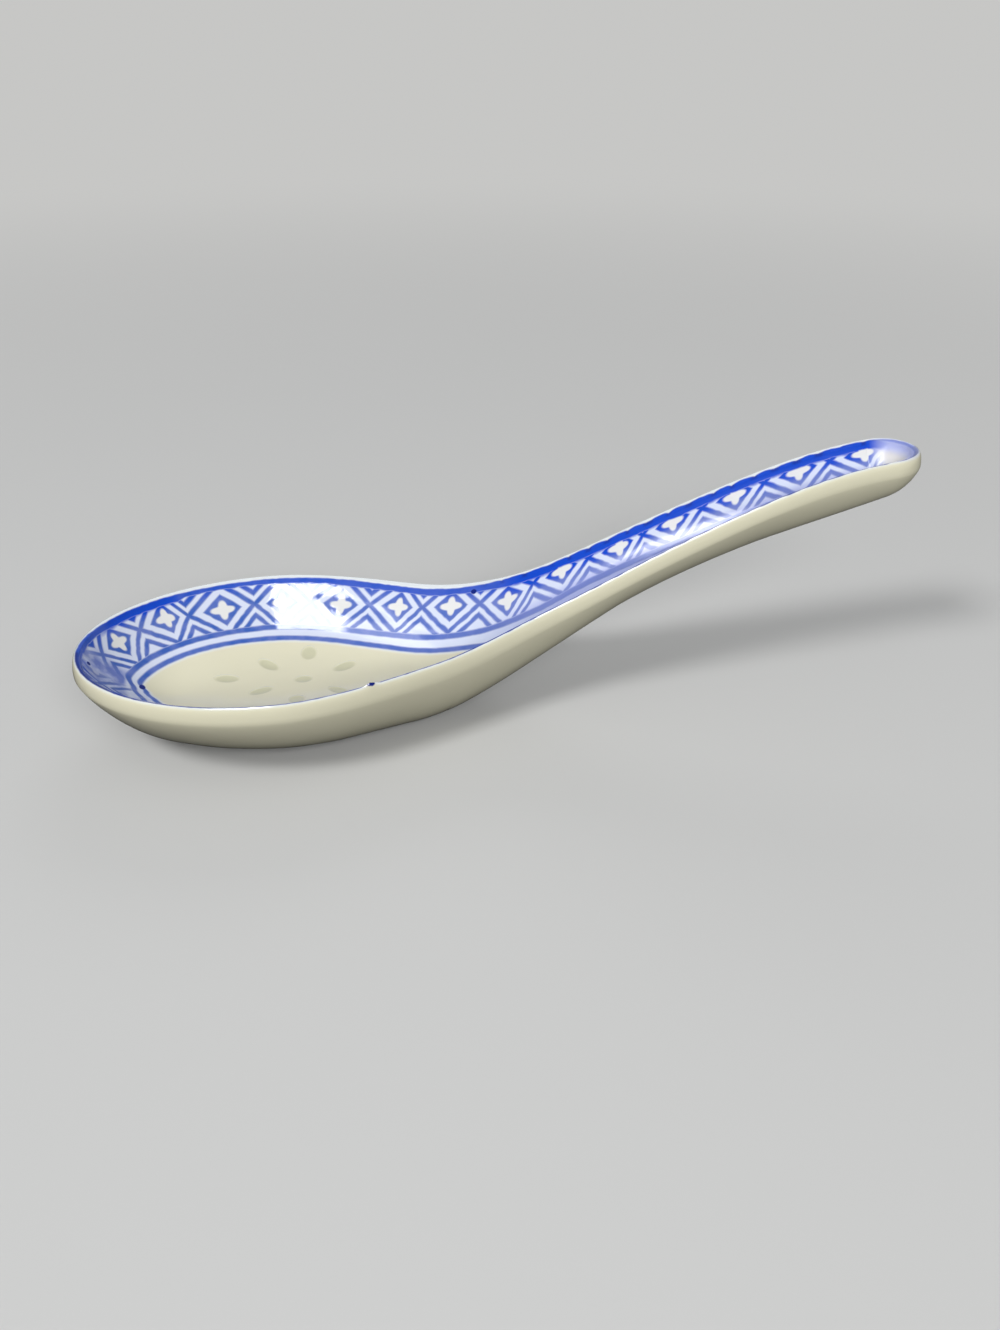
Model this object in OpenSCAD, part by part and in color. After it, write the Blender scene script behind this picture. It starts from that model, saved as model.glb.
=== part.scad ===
// Porcelain soup spoon with a boat shaped bowl and a channelled handle.
// Clear glaze windows fill lens shaped holes in the bowl floor and a blue printed
// border runs round the inside of the bowl and up the handle.
// X runs from the bowl tip to the handle end, Y across, Z up.
// The origin is the middle of the flat foot, which stands on Z = 0.

/* [Outline seen from above] */
// Length from bowl tip to handle end
spoon_len = 135; // [100:0.5:180]
// Distance from the bowl tip to the middle of the foot
foot_mid = 33.5; // [25:0.5:45]
// Distance from the bowl tip to the widest place of the bowl
bowl_wide_at = 30; // [22:0.1:42]
// Half width of the bowl at its widest place
bowl_half = 21.85; // [16:0.05:30]
// Distance from the bowl tip to the neck
neck_at = 75.7; // [60:0.1:95]
// Half width at the neck
neck_half = 7.85; // [5.5:0.05:12]
// Sideways slope of the outline at the neck
neck_slope_share = -0.085; // [-0.15:0.001:0]
// Half width of the handle where the rounded end starts
end_half = 6; // [4.5:0.05:9]
// Sideways slope of the outline where the rounded end starts
end_slope_share = 0; // [-0.03:0.001:0]
// Length of the rounded handle end
end_round = 6.3; // [5:0.1:11]

/* [Side view of the rim] */
// Height of the rim at the bowl tip
rim_tip_h = 14.55; // [11:0.05:20]
// Distance from the tip to the lowest place of the rim
rim_low_at = 54.3; // [42:0.1:62]
// Height of the rim at its lowest place
rim_low_h = 14.55; // [11:0.05:20]
// Distance from the tip to the place where the handle rises straight
rim_rise_at = 92.5; // [82:0.1:105]
// Height of the rim at that place
rim_rise_h = 26.9; // [20:0.1:38]
// Rise of the rim at that place
rim_rise_slope_share = 0.43; // [0.25:0.01:0.6]
// Height of the rim at the handle end
rim_end_h = 39; // [28:0.1:55]
// Rise of the rim at the handle end
rim_end_slope_share = 0; // [-0.2:0.01:0.2]

/* [Side view of the underside] */
// Height of the underside at the bowl tip
keel_tip_h = 7.1; // [5:0.1:11]
// Distance from the tip to the start of the flat foot
foot_start = 15.5; // [10:0.5:22]
// Distance from the tip to the end of the flat foot
foot_end = 51; // [44:0.5:60]
// Distance from the tip to the place where the underside rises straight
keel_rise_at = 88.6; // [75:0.1:105]
// Height of the underside at that place
keel_rise_h = 16.85; // [12:0.05:26]
// Rise of the underside at that place
keel_rise_slope_share = 0.5; // [0.3:0.01:0.7]
// Height of the underside at the handle end
keel_end_h = 33.5; // [24:0.1:50]
// Rise of the underside at the handle end
keel_end_slope_share = 0.39; // [0.2:0.01:0.6]
// Depth ground off the rounded underside to make the flat foot
foot_flat = 0.15; // [0.05:0.05:0.5]

/* [Wall and section] */
// Thickness of the rounded rim
lip = 1.4; // [1.2:0.05:3]
// Thickness of the bowl floor
floor_bowl = 4.9; // [3:0.1:7]
// Thickness of the handle floor
floor_handle = 3.3; // [2.2:0.1:5]
// Distance from the tip where the floor begins to thin towards the handle
thin_from = 45; // [36:0.5:55]
// Distance from the tip where the floor has its handle thickness
thin_to = 86; // [72:0.5:100]
// Fullness of the outer section at the bowl tip
outer_tip_share = 2.65; // [2:0.05:4]
// Fullness of the outer section in the bowl
outer_bowl_share = 4.4; // [2.4:0.05:5]
// Fullness of the outer section on the handle
outer_handle_share = 2.7; // [2:0.05:3]
// Fullness of the inner section at the bowl tip
inner_tip_share = 2.2; // [1.8:0.05:3]
// Fullness of the inner section in the bowl
inner_bowl_share = 2.4; // [1.8:0.05:3]
// Fullness of the inner section on the handle
inner_handle_share = 2; // [1.8:0.05:3]

/* [Blue printed border] */
// Depth of the seat of the printed colour
seat = 0.2; // [0.1:0.05:0.4]
// Distance of the rim band from the crest of the rim
band_from = 0.55; // [0.3:0.05:0.9]
// Width of the rim band
band_w = 0.95; // [0.6:0.05:1.3]
// Distance of the outer line from the crest at the bowl tip
line_tip = 8.6; // [6.5:0.1:9.2]
// Distance of the outer line from the crest in the bowl
line_bowl = 9.3; // [7.5:0.1:10]
// Distance of the outer line from the crest where it starts to fall towards the neck
line_fall = 8.35; // [7:0.05:9.6]
// Distance of the outer line from the crest on the handle
line_handle = 5.5; // [4.5:0.05:6.6]
// Distance from the bowl tip to the highest place of the printed lines
line_bowl_at = 37; // [30:0.5:46]
// Distance from the bowl tip to the place where the outer line starts to fall
line_fall_at = 64; // [52:0.5:68]
// Distance from the bowl tip to the place where the outer line reaches its handle height
line_handle_at = 84; // [74:0.5:92]
// Fall of the outer line where it starts to fall
line_fall_slope_share = -0.09; // [-0.12:0.01:0]
// Width of the outer line
line_w = 0.95; // [0.5:0.05:1.2]
// Least white gap between the outer and the inner line
line_gap = 0.9; // [0.6:0.05:1.2]
// Distance of the inner line from the crest at the bowl tip
inner_tip = 10.4; // [9.5:0.05:11]
// Distance of the inner line from the crest in the bowl
inner_bowl = 11.6; // [10.5:0.05:12]
// Distance of the inner line from the crest where the outer line starts to fall
inner_fall = 10.6; // [9.8:0.05:11]
// Width of the inner line
inner_w = 0.85; // [0.5:0.05:1.2]
// Least half width of the white strip in the middle of the handle
mid_strip = 0.8; // [0.4:0.05:1.2]
// Length of the handle end that the printed border leaves white
plain_end = 7; // [4:0.1:12]

/* [Glaze windows] */
// Distance from the bowl tip to the middle of the window flower
flower_at = 34.4; // [28:0.1:40]
// Sideways shift of the window flower
flower_side = 1.5; // [-3:0.1:3]
// Distance of the inner ends of the petals from the middle of the flower
petal_from = 5.1; // [3.5:0.1:6]
// Distance of the outer window from the middle of the flower
outer_ring = 12.5; // [11.2:0.1:14]
// Turn of the flower
flower_turn = 20; // [10:1:30]
// Turn of the outer window
outer_turn = 171; // [160:1:185]
// Number of petals
petals = 6; // [5:1:7]
// Length of a window
grain_len = 4.3; // [3:0.1:5]
// Width of a window
grain_w = 2.1; // [1.4:0.1:2.8]
// Length of the rounder windows at the sides of the flower
short_share = 0.72; // [0.6:0.01:1]
// Width of the rounder windows at the sides of the flower
round_share = 1.3; // [1:0.01:1.5]
// Depth of the glaze below the porcelain at both faces
grain_dip = 0.12; // [0.05:0.01:0.3]

/* [Hidden] */
stations = 60;
outer_shares = [0.25, 0.45, 0.6, 0.72, 0.82, 0.9, 0.96, 1];
field_shares = [0.25, 0.5, 0.75, 1];
print_shares = [0.25, 0.5, 0.75, 1];
grain_points = 24;
crest_turns = [45, 90];
profile_steps = 24;
crest_steps = 6;
close_share = 0.9;
lip_r = lip / 2;
cap_at = spoon_len - end_round;
plan = [[bowl_wide_at, bowl_half, 0], [neck_at, neck_half, neck_slope_share],
  [cap_at, end_half, end_slope_share]];
rim_line = [[0, rim_tip_h, 0], [rim_low_at, rim_low_h, 0],
  [rim_rise_at, rim_rise_h, rim_rise_slope_share], [spoon_len, rim_end_h, rim_end_slope_share]];
keel_line = [[0, keel_tip_h, -2 * keel_tip_h / foot_start], [foot_start, 0, 0], [foot_end, 0, 0],
  [keel_rise_at, keel_rise_h, keel_rise_slope_share], [spoon_len, keel_end_h, keel_end_slope_share]];
floor_line = [[thin_from, floor_bowl, 0], [thin_to, floor_handle, 0]];
full_from = (thin_from + foot_start) * 2 / 3;
full_to = (neck_at + thin_from) / 2;
print_line = [[0, line_tip, 0], [line_bowl_at, line_bowl, 0],
  [line_fall_at, line_fall, line_fall_slope_share], [line_handle_at, line_handle, 0]];
inner_path = [[0, inner_tip, 0], [line_bowl_at, inner_bowl, 0],
  [line_fall_at, inner_fall, line_fall_slope_share]];

// Smooth curve through rows of place, height and slope
function bend(t, a, b, sa, sb) =
  (2 * t * t * t - 3 * t * t + 1) * a + (t * t * t - 2 * t * t + t) * sa
  + (3 * t * t - 2 * t * t * t) * b + (t * t * t - t * t) * sb;
function bend_slope(t, a, b, sa, sb) =
  (6 * t * t - 6 * t) * (a - b) + (3 * t * t - 4 * t + 1) * sa + (3 * t * t - 2 * t) * sb;
function part_of(x, k, i = 0) = i < len(k) - 2 && x > k[i + 1][0] ? part_of(x, k, i + 1) : i;
function held(x, k) = min(max(x, k[0][0]), k[len(k) - 1][0]);
function along(x, k) =
  let (i = part_of(x, k), run = k[i + 1][0] - k[i][0], t = (held(x, k) - k[i][0]) / run)
  bend(t, k[i][1], k[i + 1][1], k[i][2] * run, k[i + 1][2] * run);
function slope_of(x, k) =
  let (i = part_of(x, k), run = k[i + 1][0] - k[i][0], t = (held(x, k) - k[i][0]) / run)
  bend_slope(t, k[i][1], k[i + 1][1], k[i][2] * run, k[i + 1][2] * run) / run;

// Half width of the outline and the place on the middle line that it faces
function half_w(x) =
  x < bowl_wide_at ? bowl_half * sqrt(max(0, 1 - pow(1 - x / bowl_wide_at, 2)))
  : x >= spoon_len ? 0
  : x > cap_at ? end_half * sqrt(max(0, 1 - pow((x - cap_at) / end_round, 2)))
  : along(x, plan);
function spine_x(x) =
  x < bowl_wide_at ? x + pow(bowl_half / bowl_wide_at, 2) * (bowl_wide_at - x)
  : x > cap_at ? x - pow(end_half / end_round, 2) * (x - cap_at)
  : x + along(x, plan) * slope_of(x, plan);

// Fullness of the sections along the spoon
function mix(x, tip, bowl, handle) =
  lookup(x, [[0, tip], [full_from, bowl], [full_to, bowl], [thin_to, handle]]);
function under(x) = along(x, keel_line);
function floor_top(x) = under(x) + along(x, floor_line);

// Outer face: r is one at the rim and zero on the middle line
function outer_z(x, r) =
  let (at = x + (1 - r) * (spine_x(x) - x))
  under(at) + (along(x, rim_line) - lip_r - under(x)) * pow(r, mix(x, outer_tip_share,
  outer_bowl_share, outer_handle_share)) - foot_flat;
// Share of the way out from the middle line where the flat foot ends
function foot_share(x) =
  let (left = foot_flat - under(spine_x(x)), tall = along(x, rim_line) - lip_r - under(x))
  left <= 0 ? 0 : pow(left / tall, 1 / mix(x, outer_tip_share, outer_bowl_share, outer_handle_share));

// Inner face: q is zero at the inner edge of the rim and one on the middle line
function reach_of(x) = norm([half_w(x), spine_x(x) - x]);
function inner_at(x, q) =
  let (run = reach_of(x), s = lip + q * (run - lip), at = x + s / run * (spine_x(x) - x),
    first = x + lip / run * (spine_x(x) - x))
  [s, floor_top(at) + (along(x, rim_line) - lip_r - floor_top(first)) * pow(1 - q, mix(x,
  inner_tip_share, inner_bowl_share, inner_handle_share)) - foot_flat];
function crest_at(x, turn) =
  [lip_r * (1 - cos(turn)), along(x, rim_line) - lip_r + lip_r * sin(turn) - foot_flat];

// Profile of the inner face from the crest of the rim to the middle line, with its length
function profile_pts(x) = concat(
  [for (k = [0 : crest_steps - 1]) crest_at(x, 90 + 90 * k / crest_steps)],
  [for (k = [0 : profile_steps]) inner_at(x, pow(k / profile_steps, 1.3))]);
function running(p, k = 0, so_far = 0) =
  k == len(p) ? [] : let (now = k == 0 ? 0 : so_far + norm(p[k] - p[k - 1]))
  concat([now], running(p, k + 1, now));

sx = [for (i = [0 : stations]) spoon_len * (1 - cos(180 * i / stations)) / 2];
pts = [for (x = sx) profile_pts(x)];
runs = [for (p = pts) running(p)];
tab_s = [for (i = [0 : stations]) [for (k = [0 : len(runs[i]) - 1]) [runs[i][k], pts[i][k][0]]]];
tab_z = [for (i = [0 : stations]) [for (k = [0 : len(runs[i]) - 1]) [runs[i][k], pts[i][k][1]]]];
full = [for (r = runs) r[len(r) - 1]];

// Point at plan distance s from the outer edge at station i, on side +1 or -1
function place(i, s, z, side) =
  let (x = sx[i], t = s / reach_of(x))
  [x + t * (spine_x(x) - x) - foot_mid, side * half_w(x) * (1 - t), z];
// Point of the inner face at distance b below the crest, sunk by depth into the wall
function face_pt(i, b, depth, side) =
  b >= full[i] ? place(i, reach_of(sx[i]), tab_z[i][len(tab_z[i]) - 1][1] - depth, side)
  : let (step = full[i] / 200, ds = lookup(b + step, tab_s[i]) - lookup(b - step, tab_s[i]),
    dz = lookup(b + step, tab_z[i]) - lookup(b - step, tab_z[i]), m = norm([ds, dz]))
  place(i, lookup(b, tab_s[i]) + depth * dz / m, lookup(b, tab_z[i]) - depth * ds / m, side);

// Distances of the printed lines at each station
last_print = max([for (i = [0 : stations]) sx[i] <= spoon_len - plain_end ? i : 0]);
band_end = band_from + band_w;
line_a = [for (i = [0 : stations]) max(band_end + line_w,
  min(along(sx[i], print_line), full[i] - line_w - mid_strip))];
line_b = [for (i = [0 : stations]) line_a[i] + line_w];
free_c = [for (i = [0 : stations]) max(line_b[i] + line_gap, along(sx[i], inner_path))];
meet = min([for (i = [2 : stations]) if (free_c[i] + inner_w >= full[i] && sx[i] > bowl_wide_at) i]);
line_c = [for (i = [0 : stations]) i < meet ? free_c[i]
  : i == meet ? min(free_c[i], full[i] * close_share) : full[i]];
line_d = [for (i = [0 : stations]) i < meet ? line_c[i] + inner_w : full[i]];

// Rows of the inner face at station i as distance and depth
function print_depth(i) = i <= last_print ? seat : 0;
function inner_depth(i) = i <= meet ? seat : 0;
function field_depth(i) = i == meet ? seat : 0;
function inner_rows(i) =
  let (a = line_a[i], d1 = print_depth(i), d2 = inner_depth(i), d3 = field_depth(i))
  concat(
    [[band_from, 0], [band_from, seat], [band_from + band_w / 2, seat], [band_end, seat],
    [band_end, d1]],
    [for (u = print_shares) [band_end + (a - band_end) * u, d1]],
    [[line_b[i], d1], [line_b[i], 0], [line_c[i], 0], [line_c[i], d2], [line_d[i], d2],
    [line_d[i], d3]],
    [for (u = field_shares) [u == 1 ? full[i] : line_d[i] + (full[i] - line_d[i]) * u, d3]]);
function outer_rows(i) =
  let (f = foot_share(sx[i]))
  concat([0], [f], [for (u = outer_shares) f + (1 - f) * u]);
function column(i, side) =
  let (run = reach_of(sx[i]))
  concat(
    [for (r = outer_rows(i)) place(i, (1 - r) * run, max(0, outer_z(sx[i], r)), side)],
    [for (c = crest_turns) let (e = crest_at(sx[i], c)) place(i, e[0], e[1], side)],
    [for (r = inner_rows(i)) face_pt(i, r[0], r[1], side)]);

// A skin over columns of points on both sides of the middle line. Equal points of a column
// are used once, and points on the middle line are shared by the two sides.
function first_of(col, r, k = 0) = col[k] == col[r] ? k : first_of(col, r, k + 1);
function tri(ys, a, b, c) =
  a == b || b == c || a == c || (ys[a] == 0 && ys[b] == 0 && ys[c] == 0) ? [] : [[a, b, c]];
function quad(ys, a, b, c, d) = concat(tri(ys, a, b, c), tri(ys, a, c, d));
module skin(left, right, ring = false) {
  rows = len(left[0]);
  all_pts = concat([for (c = left) each c], [for (c = right) each c]);
  ys = [for (p = all_pts) p[1]];
  firsts = [for (c = left) [for (r = [0 : rows - 1]) first_of(c, r)]];
  far = len(left) * rows;
  function spot(i, r, side) =
    i * rows + firsts[i][r] + (side > 0 || ys[i * rows + firsts[i][r]] == 0 ? 0 : far);
  function patch(i, r, s, side) =
    side > 0 ? quad(ys, spot(i, r, 1), spot(i + 1, r, 1), spot(i + 1, s, 1), spot(i, s, 1))
    : quad(ys, spot(i, r, -1), spot(i, s, -1), spot(i + 1, s, -1), spot(i + 1, r, -1));
  polyhedron(points = all_pts, convexity = 10,
    faces = [for (i = [0 : len(left) - 2]) for (r = [0 : rows - (ring ? 1 : 2)])
      for (side = [1, -1]) each patch(i, r, (r + 1) % rows, side)]);
}
// A printed strip between rows of distances, from the bowl tip to station last
function strip_column(i, rows, depth, side) = concat(
  [for (b = rows) face_pt(i, b, 0, side)],
  [for (k = [len(rows) - 1 : -1 : 0]) face_pt(i, rows[k], depth, side)]);
function lattice_rows(i) =
  concat([band_end], [for (u = print_shares) band_end + (line_a[i] - band_end) * u]);

// Windows: place, turn, length and width of each grain in the bowl floor
function petal(k) =
  let (turn = flower_turn + 360 * k / petals, side = abs(sin(turn)) > 0.9,
    long = grain_len * (side ? short_share : 1), ring = petal_from + long / 2)
  [flower_at + ring * cos(turn), flower_side + ring * sin(turn), turn,
  long, grain_w * (side ? round_share : 1)];
function outer_window(turn) = [flower_at + outer_ring * cos(turn),
  flower_side + outer_ring * sin(turn), turn, grain_len, grain_w];
windows = concat([[flower_at, flower_side, 0, grain_len * short_share, grain_w]],
  [for (k = [0 : petals - 1]) petal(k)], [outer_window(outer_turn)]);
function grain_outline(g) = [for (k = [0 : grain_points - 1])
  let (c = g[3] / 2 * cos(360 * k / grain_points), s = g[4] / 2 * sin(360 * k / grain_points))
  [g[0] - foot_mid + c * cos(g[2]) - s * sin(g[2]), g[1] + c * sin(g[2]) + s * cos(g[2])]];
// Station whose column runs through a point of the plan
function station_at(x, y, low, high, k = 26) =
  let (mid = (low + high) / 2)
  k == 0 ? mid : mid + (1 - y / half_w(mid)) * (spine_x(mid) - mid) < x
  ? station_at(x, y, mid, high, k - 1) : station_at(x, y, low, mid, k - 1);
function floor_pair(p) =
  let (y = abs(p[1]), x = station_at(p[0] + foot_mid, y,
    bowl_wide_at * (1 - sqrt(1 - pow(y / bowl_half, 2))), neck_at),
    run = reach_of(x), s = (1 - y / half_w(x)) * run)
  [max(0, outer_z(x, y / half_w(x))) + grain_dip,
  inner_at(x, (s - lip) / (run - lip))[1] - grain_dip];

module porcelain_body() {
  color("ghostwhite") difference() {
    skin([for (i = [0 : stations]) column(i, 1)], [for (i = [0 : stations]) column(i, -1)]);
    for (g = windows) translate([0, 0, -lip]) linear_extrude(rim_low_h) polygon(grain_outline(g));
  }
}
module rim_band() {
  rows = [band_from, band_from + band_w / 2, band_end];
  color("royalblue") skin([for (i = [0 : stations]) strip_column(i, rows, seat, 1)],
    [for (i = [0 : stations]) strip_column(i, rows, seat, -1)], ring = true);
}
module lattice_border() {
  color("cornflowerblue") skin(
    [for (i = [0 : last_print + 1]) strip_column(i, lattice_rows(i), print_depth(i), 1)],
    [for (i = [0 : last_print + 1]) strip_column(i, lattice_rows(i), print_depth(i), -1)],
    ring = true);
}
module outer_line() {
  color("mediumblue") skin(
    [for (i = [0 : last_print + 1]) strip_column(i, [line_a[i], line_b[i]], print_depth(i), 1)],
    [for (i = [0 : last_print + 1]) strip_column(i, [line_a[i], line_b[i]], print_depth(i), -1)],
    ring = true);
}
module inner_line() {
  color("mediumblue") skin(
    [for (i = [0 : meet + 1]) strip_column(i, [line_c[i], line_d[i]], inner_depth(i), 1)],
    [for (i = [0 : meet + 1]) strip_column(i, [line_c[i], line_d[i]], inner_depth(i), -1)],
    ring = true);
}
module glaze_window(k) {
  outline = grain_outline(windows[k - 1]);
  n = len(outline);
  mid = [windows[k - 1][0] - foot_mid, windows[k - 1][1]];
  heights = [for (p = concat(outline, [mid])) floor_pair(p)];
  color("lightcyan") polyhedron(
    points = concat([for (j = [0 : n - 1]) [outline[j][0], outline[j][1], heights[j][0]]],
      [for (j = [0 : n - 1]) [outline[j][0], outline[j][1], heights[j][1]]],
      [[mid[0], mid[1], heights[n][0]], [mid[0], mid[1], heights[n][1]]]),
    faces = [for (j = [0 : n - 1]) let (m = (j + 1) % n)
      each [[j, m, 2 * n], [n + m, n + j, 2 * n + 1], [j, n + j, n + m], [j, n + m, m]]]);
}

porcelain_body();
rim_band();
lattice_border();
outer_line();
inner_line();
glaze_window(1);  // glaze_window_1
glaze_window(2);  // glaze_window_2
glaze_window(3);  // glaze_window_3
glaze_window(4);  // glaze_window_4
glaze_window(5);  // glaze_window_5
glaze_window(6);  // glaze_window_6
glaze_window(7);  // glaze_window_7
glaze_window(8);  // glaze_window_8
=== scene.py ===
import math
import bmesh
import bpy
import numpy as np
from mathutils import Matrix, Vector


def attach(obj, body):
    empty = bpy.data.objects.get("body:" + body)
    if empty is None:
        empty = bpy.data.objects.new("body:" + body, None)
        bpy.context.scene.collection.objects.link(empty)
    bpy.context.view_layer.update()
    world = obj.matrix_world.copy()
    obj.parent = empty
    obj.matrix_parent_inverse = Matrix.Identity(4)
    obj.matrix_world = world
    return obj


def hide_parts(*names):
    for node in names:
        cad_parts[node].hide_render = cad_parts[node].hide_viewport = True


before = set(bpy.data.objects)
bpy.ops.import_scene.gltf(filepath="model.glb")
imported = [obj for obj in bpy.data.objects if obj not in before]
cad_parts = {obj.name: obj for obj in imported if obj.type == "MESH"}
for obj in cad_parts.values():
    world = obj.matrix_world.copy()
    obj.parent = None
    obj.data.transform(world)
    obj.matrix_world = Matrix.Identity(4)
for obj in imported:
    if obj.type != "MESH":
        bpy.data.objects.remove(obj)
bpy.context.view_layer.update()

MM = 0.001

# Sizes of the spoon, in mm
# X counts from the bowl tip here; FOOT_MID moves it to the middle of the foot.
SPOON_LEN, FOOT_MID = 135.0, 33.5
BOWL_WIDE_AT, BOWL_HALF = 30.0, 21.84
NECK_AT, NECK_HALF, NECK_SLOPE = 75.7, 7.85, -0.085
END_HALF, END_SLOPE, END_ROUND = 6.0, 0.0, 6.3
CAP_AT = SPOON_LEN - END_ROUND
FOOT_START, FOOT_END, FOOT_FLAT = 15.5, 51.0, 0.15
LIP, FLOOR_BOWL, FLOOR_HANDLE, THIN_FROM, THIN_TO = 1.4, 4.9, 3.3, 45.0, 86.0
LIP_R = LIP / 2
# At the tip, in the bowl, along the handle and at its end: the exponents of the section outside
# and inside, and the height of the rounded shoulder from the outer edge up to the crest
OUTER_FULL, INNER_FULL = (1.94, 3.59, 2.01, 3.33), (2.2, 2.4, 2.0, 2.0)
SHOULDER = (2.3, 2.6, 2.3, 2.4)
# How upright the outside stands just below the shoulder
STEEP = 1.25
PLAN = [[BOWL_WIDE_AT, BOWL_HALF, 0], [NECK_AT, NECK_HALF, NECK_SLOPE], [CAP_AT, END_HALF, END_SLOPE]]
RIM = [[0, 14.55, 0], [54.3, 14.55, 0], [92.5, 26.9, 0.43], [SPOON_LEN, 39.0, 0]]
KEEL_TIP = 7.1
KEEL = [[0, KEEL_TIP, -2 * KEEL_TIP / FOOT_START], [FOOT_START, 0, 0], [FOOT_END, 0, 0],
        [88.6, 16.85, 0.5], [SPOON_LEN, 33.5, 0.39]]
FLOOR = [[THIN_FROM, FLOOR_BOWL, 0], [THIN_TO, FLOOR_HANDLE, 0]]
FULL_FROM, FULL_TO = (THIN_FROM + FOOT_START) * 2 / 3, (NECK_AT + THIN_FROM) / 2
HANDLE_TO = CAP_AT - 20

# Printed border: distances from the crest of the rim
SEAT, BAND_FROM, BAND_W = 0.2, 0.55, 0.95
BAND_END = BAND_FROM + BAND_W
LINE_W, INNER_W, LINE_GAP, MID_STRIP, PLAIN_END = 0.95, 0.85, 0.9, 0.8, 7.0
PRINT_LINE = [[0, 8.6, 0], [37.0, 9.3, 0], [64.0, 8.35, -0.09], [84.0, 5.5, 0]]
INNER_PATH = [[0, 10.7, 0], [37.0, 11.65, 0], [64.0, 11.0, -0.09]]
# Lattice on the far side: flowers and line crossings by turns, from the bowl tip up the handle,
# each with its distance along the rim and its distance below the crest
LATTICE = [(-1.5, 3.8), (4.0, 4.0), (9.3, 4.25), (14.6, 4.3), (20.2, 3.95), (24.3, 4.9), (30.7, 5.25),
           (36.6, 5.0), (41.8, 5.25), (47.3, 5.1), (53.0, 5.25), (58.2, 4.75), (63.5, 4.5), (67.5, 4.15),
           (72.5, 3.85), (77.4, 3.85), (82.2, 4.45), (86.5, 2.6), (91.5, 2.2), (96.3, 2.2), (101.9, 2.65),
           (106.0, 2.4), (111.3, 2.45), (116.5, 2.3), (122.3, 2.55), (127.3, 2.3), (133.3, 2.45),
           (138.6, 2.3), (144.4, 2.35), (149.3, 2.2), (154.5, 2.2)]
CELL = 10.5
# Height stretch of the lattice along the rim, as distance and factor
STRETCH = [(0, 1.0), (54, 1.0), (64, 1.08), (82, 1.1), (91, 1.22), (154, 1.22)]
# Upper and lower edge of the rim band along the rim: distance, upper edge, lower edge
BAND_FAR = [(0, 0.05, 1.3), (6, 0.3, 1.4), (10, 0.5, 1.7), (18, 0.6, 1.9), (23.5, 0.65, 1.85),
            (25, 0.7, 1.45), (36, 0.72, 1.5), (45, 0.65, 1.6), (53, 0.65, 1.75), (60, 0.85, 1.95),
            (66, 0.95, 2.0), (72, 0.85, 1.95), (78, 0.65, 1.85), (84, 0.4, 1.8), (100, 0.45, 1.8),
            (130, 0.5, 1.85), (137, 0.4, 1.85), (146, 0.35, 1.7), (154, 0.15, 1.5)]
BAND_NEAR = [(0, 0.0, 1.3), (8, 0.03, 1.4), (154, 0.03, 1.6)]
# Spacing of the drips along the rim band of the handle
TEETH = 3.7
# A small nub of glaze on the near lip: place along and below the crest, height, half sizes
NUB_AT, NUB_LOW, NUB_HIGH, NUB_HALF, NUB_WIDE = 54.8, -0.05, 0.5, 0.8, 0.6

# Glaze windows: a middle grain, a flower of petals and an outer grain
FLOWER_AT, FLOWER_SIDE, PETAL_FROM, OUTER_RING = 34.4, 1.5, 5.1, 12.5
FLOWER_TURN, OUTER_TURN, PETALS = 20, 171, 6
GRAIN_LEN, GRAIN_W, SHORT, ROUND = 4.3, 2.1, 0.72, 1.3
# Hollow in the middle of a grain, and the share of it that is left at the edge
GRAIN_DIP, GRAIN_EDGE = 0.144, 0.15
# Heights in metres between which the grain holes are cut
CUT_FROM, CUT_TO = -0.002, 0.012

# Mesh counts, and how far the outer rows crowd towards the rim
STATIONS, OUTER_ROWS, CREST_ROWS, FIELD_ROWS, LATTICE_ROWS = 300, 34, 8, 22, 18
BAND_ROWS, LINE_ROWS, GAP_ROWS, GRAIN_SIDES, GRAIN_RINGS = 4, 2, 3, 40, 6
CROWD = 1.4
# Steps in which the inside is measured, round the lip and down the wall, how far the latter
# crowd towards the lip, and the halvings that find the station of a point of the plan
LIP_STEPS, WALL_STEPS, WALL_CROWD, HALVINGS = 12, 160, 1.3, 40
# Edges sharper than this stay sharp, and points nearer than this, in metres, become one
SHARP, WELD = math.radians(32), 1e-8
# Print distance of the whole outside, well away from every printed line
OFF_PRINT = -20.0


# Form of the spoon
def pieces_of(x, k):
    k = np.asarray(k, float)
    x = np.clip(np.asarray(x, float), k[0, 0], k[-1, 0])
    i = np.clip(np.searchsorted(k[:, 0], x, side="left") - 1, 0, len(k) - 2)
    run = k[i + 1, 0] - k[i, 0]
    return (x - k[i, 0]) / run, k[i, 1], k[i + 1, 1], k[i, 2] * run, k[i + 1, 2] * run, run


def along(x, k):
    t, a, b, sa, sb, _ = pieces_of(x, k)
    return ((2 * t**3 - 3 * t**2 + 1) * a + (t**3 - 2 * t**2 + t) * sa
            + (3 * t**2 - 2 * t**3) * b + (t**3 - t**2) * sb)


def slope_of(x, k):
    t, a, b, sa, sb, run = pieces_of(x, k)
    return ((6 * t * t - 6 * t) * (a - b) + (3 * t * t - 4 * t + 1) * sa
            + (3 * t * t - 2 * t) * sb) / run


def half_w(x):
    x = np.asarray(x, float)
    tip = BOWL_HALF * np.sqrt(np.clip(1 - (1 - x / BOWL_WIDE_AT) ** 2, 0, None))
    cap = END_HALF * np.sqrt(np.clip(1 - ((x - CAP_AT) / END_ROUND) ** 2, 0, None))
    return np.where(x < BOWL_WIDE_AT, tip, np.where(x > CAP_AT, cap, along(x, PLAN)))


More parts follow.
